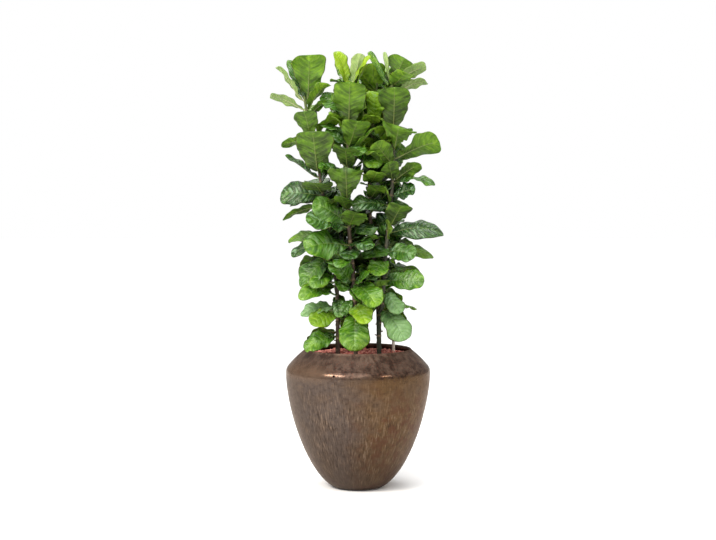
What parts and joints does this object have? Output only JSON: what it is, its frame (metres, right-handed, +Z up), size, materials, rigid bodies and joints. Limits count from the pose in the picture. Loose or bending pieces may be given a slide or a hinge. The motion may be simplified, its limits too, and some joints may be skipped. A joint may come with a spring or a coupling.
{
  "type": "potted fiddle leaf fig",
  "caption": "Tall leafy house plant on slim upright stems in a round, tapered, bronze-glazed ceramic planter filled with reddish clay granules.",
  "frame": {"origin": "centre of the planter's flat foot, on the floor", "axes": "+Z up along the stems, front of the plant towards -Y"},
  "size_m": [0.6017, 0.5, 1.5029],
  "materials": {
    "glaze": "mottled metallic bronze-brown glaze with fine drips",
    "clay": "matt reddish expanded clay granules",
    "gauge": "white moulded plastic",
    "stem": "dull brown-green bark with petiole scars",
    "leaf": "leathery green leaf, glossy above and matt below, with pale veins",
    "young_leaf": "thin lime-green new leaf"
  },
  "bodies": {
    "root": {"planter": "glaze", "clay_granules": "clay", "water_gauge_tube": "gauge", "water_gauge_cap": "gauge", "left_stem": "stem", "middle_stem": "stem", "rear_stem": "stem", "right_stem": "stem", "left_leaf_01": "leaf", "left_leaf_04": "leaf", "left_leaf_04_twin": "leaf", "left_leaf_05": "leaf", "left_leaf_06": "leaf", "left_leaf_06_twin": "leaf", "left_leaf_07": "leaf", "left_leaf_08": "leaf", "left_leaf_09": "leaf", "left_leaf_11": "leaf", "left_leaf_12": "leaf", "left_leaf_12_twin": "leaf", "left_leaf_13": "leaf", "left_leaf_14": "leaf", "left_leaf_14_twin": "leaf", "left_leaf_16": "leaf", "left_leaf_18": "leaf", "left_leaf_19": "leaf", "left_leaf_20": "leaf", "left_leaf_21": "leaf", "middle_leaf_01": "leaf", "middle_leaf_01_twin": "leaf", "middle_leaf_03": "leaf", "middle_leaf_04": "leaf", "middle_leaf_06": "leaf", "middle_leaf_08": "leaf", "middle_leaf_09": "leaf", "middle_leaf_09_twin": "leaf", "middle_leaf_10": "leaf", "middle_leaf_11": "leaf", "middle_leaf_13": "leaf", "middle_leaf_13_twin": "leaf", "middle_leaf_16": "leaf", "middle_leaf_18": "leaf", "middle_leaf_18_twin": "leaf", "middle_leaf_21": "young_leaf", "rear_leaf_05": "leaf", "rear_leaf_05_twin": "leaf", "rear_leaf_09": "leaf", "rear_leaf_09_twin": "leaf", "right_leaf_01": "leaf", "right_leaf_04": "leaf", "right_leaf_04_twin": "leaf", "right_leaf_07": "leaf", "right_leaf_10": "leaf", "right_leaf_11": "leaf", "right_leaf_15": "leaf", "right_leaf_19": "leaf", "right_leaf_22": "leaf", "right_leaf_22_twin": "leaf", "right_leaf_23": "leaf", "right_leaf_27": "leaf"}
  },
  "joints": []
}
